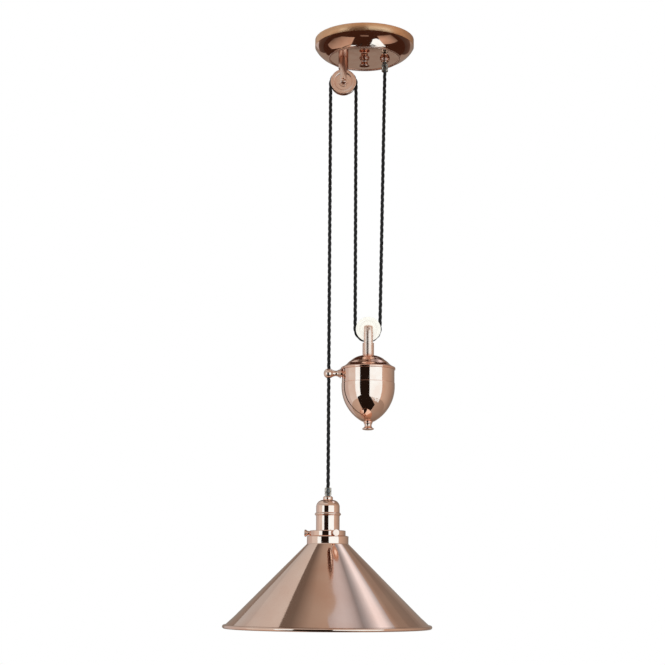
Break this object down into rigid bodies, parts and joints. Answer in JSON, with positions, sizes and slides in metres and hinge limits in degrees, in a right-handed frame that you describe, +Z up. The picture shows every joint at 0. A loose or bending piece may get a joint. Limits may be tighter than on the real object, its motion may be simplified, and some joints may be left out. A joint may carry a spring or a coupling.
{
  "type": "rise and fall pendant",
  "caption": "Rise and fall pendant in polished copper: dished ceiling canopy, twisted cord over pulleys, acorn counterweight that guides the cord, and lampholder under a conical shade.",
  "frame": {"origin": "the middle of the canopy on the ceiling plane", "axes": "+Z up towards the ceiling, +X from the lamp towards the canopy's cord boss, -Y towards the viewer; the cord, the wheels and the guide arm lie in the plane Y = 0"},
  "size_m": [0.32, 0.32, 0.9391],
  "materials": {
    "copper": "polished copper",
    "plated_steel": "zinc plated",
    "brass": "plain",
    "iron": "as cast",
    "porcelain": "glazed porcelain",
    "white_nylon": "smooth",
    "clear_plastic": "clear",
    "cord": "twisted, dark brown black"
  },
  "bodies": {
    "ceiling": {"ceiling_strap": "plated_steel", "canopy_stud": "plated_steel", "stud_nut": "plated_steel", "load_bar": "plated_steel", "canopy": "copper", "canopy_knob": "copper", "upper_fork": "copper", "fork_nut": "plated_steel", "upper_axle": "copper", "cord_boss": "copper", "boss_nut": "plated_steel", "canopy_grip": "clear_plastic", "canopy_grip_screw": "clear_plastic", "terminal_block": "white_nylon", "terminal_tubes": "brass", "terminal_screws": "brass", "block_screws": "plated_steel", "canopy_cord_tail": "cord", "canopy_cores": "cord", "upper_cord_loop": "cord", "right_cord_run": "cord", "middle_cord_run": "cord", "lamp_cord_run": "cord"},
    "upper_pulley": {"upper_wheel": "copper", "upper_bush": "brass"},
    "counterweight": {"weight_fork": "copper", "weight_axle": "copper", "weight_lid": "copper", "weight_band": "copper", "weight_bowl": "copper", "weight_filling": "iron", "tie_rod": "plated_steel", "weight_finial": "copper", "guide_arm": "copper", "guide_nut": "plated_steel", "eye_bush": "white_nylon", "weight_cord_loop": "cord"},
    "weight_pulley": {"weight_wheel": "white_nylon", "weight_bush": "brass"},
    "lamp": {"lamp_grip": "clear_plastic", "lamp_grip_screw": "clear_plastic", "lamp_ferrule": "copper", "ferrule_nut": "plated_steel", "holder_cap": "copper", "union_ring": "copper", "holder_skirt": "copper", "socket_barrel": "porcelain", "screw_shell": "brass", "centre_contact": "brass", "socket_terminals": "brass", "retaining_ring": "copper", "shade_gallery": "copper", "shade": "copper", "lamp_cord_tail": "cord", "lamp_cores": "cord"},
    "thumb_1": {"thumb_screw_1": "copper"},
    "thumb_2": {"thumb_screw_2": "copper"},
    "thumb_3": {"thumb_screw_3": "copper"}
  },
  "joints": [
    {"name": "lamp_drop", "type": "slide", "parent": "ceiling", "child": "lamp", "axis": [0, 0, 1], "range_m": [-0.6, 0.11], "deforming": ["lamp_cord_run"]},
    {"name": "weight_rise", "type": "slide", "parent": "ceiling", "child": "counterweight", "axis": [0, 0, 1], "range_m": [-0.055, 0.3], "deforming": ["middle_cord_run", "right_cord_run"]},
    {"name": "upper_pulley_spin", "type": "hinge", "parent": "ceiling", "child": "upper_pulley", "pos_m": [-0.034, 0, -0.0714], "axis": [0, 1, 0], "continuous": true},
    {"name": "weight_pulley_spin", "type": "hinge", "parent": "counterweight", "child": "weight_pulley", "pos_m": [0.00717, 0, -0.4764], "axis": [0, 1, 0], "continuous": true},
    {"name": "thumb_1_turn_out", "type": "slide", "parent": "lamp", "child": "thumb_1", "axis": [0.3584, -0.9336, 0], "range_m": [0, 0.0032]},
    {"name": "thumb_2_turn_out", "type": "slide", "parent": "lamp", "child": "thumb_2", "axis": [0.6293, 0.7771, 0], "range_m": [0, 0.0032]},
    {"name": "thumb_3_turn_out", "type": "slide", "parent": "lamp", "child": "thumb_3", "axis": [-0.9877, 0.1564, 0], "range_m": [0, 0.0032]}
  ],
  "couplings": [
    {"joint": "weight_rise", "follows": "lamp_drop", "ratio": -0.5},
    {"joint": "upper_pulley_spin", "follows": "lamp_drop", "rad_per_m": 55.556},
    {"joint": "weight_pulley_spin", "follows": "lamp_drop", "rad_per_m": -28.409}
  ]
}
